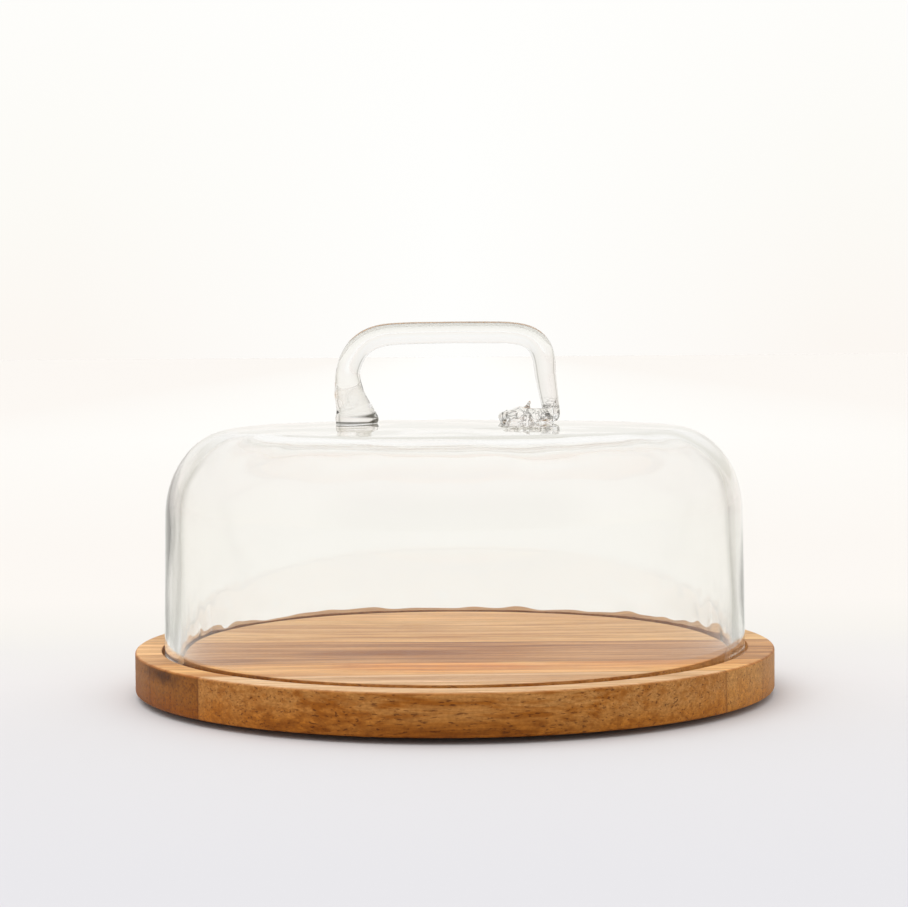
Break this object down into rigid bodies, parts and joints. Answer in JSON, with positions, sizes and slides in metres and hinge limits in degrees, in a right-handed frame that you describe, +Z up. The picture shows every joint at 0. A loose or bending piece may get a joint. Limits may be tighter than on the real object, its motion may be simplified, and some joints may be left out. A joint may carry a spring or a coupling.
{
  "type": "glass cake dome on a wooden board",
  "caption": "Low blown-glass dome with a looped glass rod handle, lifted off a ring groove in a round edge-glued wooden board on rubber feet.",
  "frame": {"origin": "on the table under the middle of the board, at the soles of the feet", "axes": "+Z up, along the lift of the dome; +X along the planks and the handle's bar, towards its folded end; the front is -Y"},
  "size_m": [0.32, 0.32, 0.1854],
  "materials": {
    "wood_pale": "oiled, pale tan top with a golden brown side",
    "wood_golden": "oiled, orange tan",
    "wood_brown": "oiled, grey brown",
    "foot_rubber": "matt",
    "clear_glass": "clear, hand blown, slightly wavy"
  },
  "bodies": {
    "board": {"plank_front": "wood_pale", "plank_front_mid": "wood_golden", "plank_centre": "wood_brown", "plank_rear_mid": "wood_pale", "plank_rear": "wood_pale", "foot_front_left": "foot_rubber", "foot_front_right": "foot_rubber", "foot_rear_left": "foot_rubber", "foot_rear_right": "foot_rubber"},
    "dome": {"glass_bell": "clear_glass", "glass_handle": "clear_glass"}
  },
  "joints": [
    {"name": "dome_lift", "type": "slide", "parent": "board", "child": "dome", "axis": [0, 0, 1], "range_m": [0, 0.15]}
  ]
}
